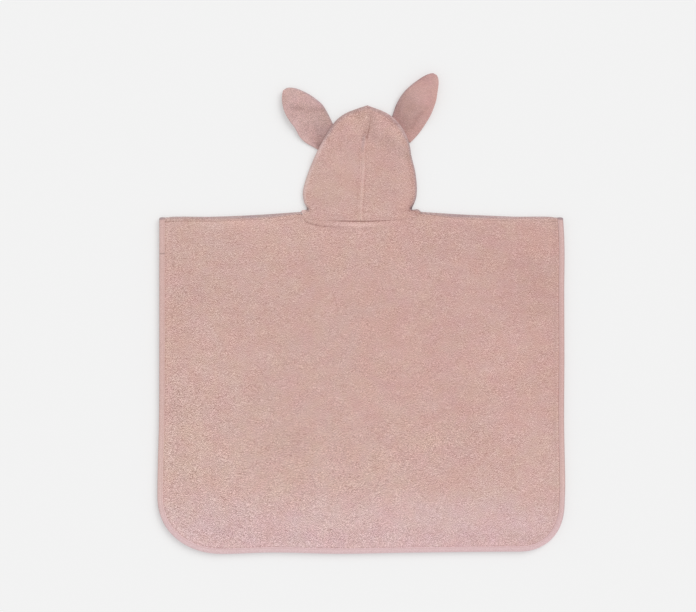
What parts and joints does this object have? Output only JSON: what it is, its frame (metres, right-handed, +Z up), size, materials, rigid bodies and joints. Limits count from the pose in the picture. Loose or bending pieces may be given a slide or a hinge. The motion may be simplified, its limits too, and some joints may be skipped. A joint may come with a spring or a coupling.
{
  "type": "hooded bath poncho, laid flat",
  "caption": "Toddler's hooded bath poncho in terry cloth with animal ears, edge bound in tape, laid flat on its front with the back and the hood's centre seam facing up.",
  "frame": {"origin": "middle of the object's box at the surface that it lies on", "axes": "+X to the right seen from above, +Y from the hem towards the hood and ears, +Z up"},
  "size_m": [0.604, 0.7121, 0.0128],
  "materials": {
    "terry": "looped cotton terry, dusty pink, matt",
    "ear_terry": "sheared, flatter cotton terry, dusty pink, matt",
    "tape": "smooth cotton jersey tape, slightly lighter pink, matt"
  },
  "bodies": {
    "root": {"front_panel": "terry", "back_panel": "terry", "hood_left": "terry", "hood_right": "terry", "ear_left_back": "ear_terry", "ear_left_front": "ear_terry", "ear_right_back": "ear_terry", "ear_right_front": "ear_terry", "edge_binding": "tape"}
  },
  "joints": []
}
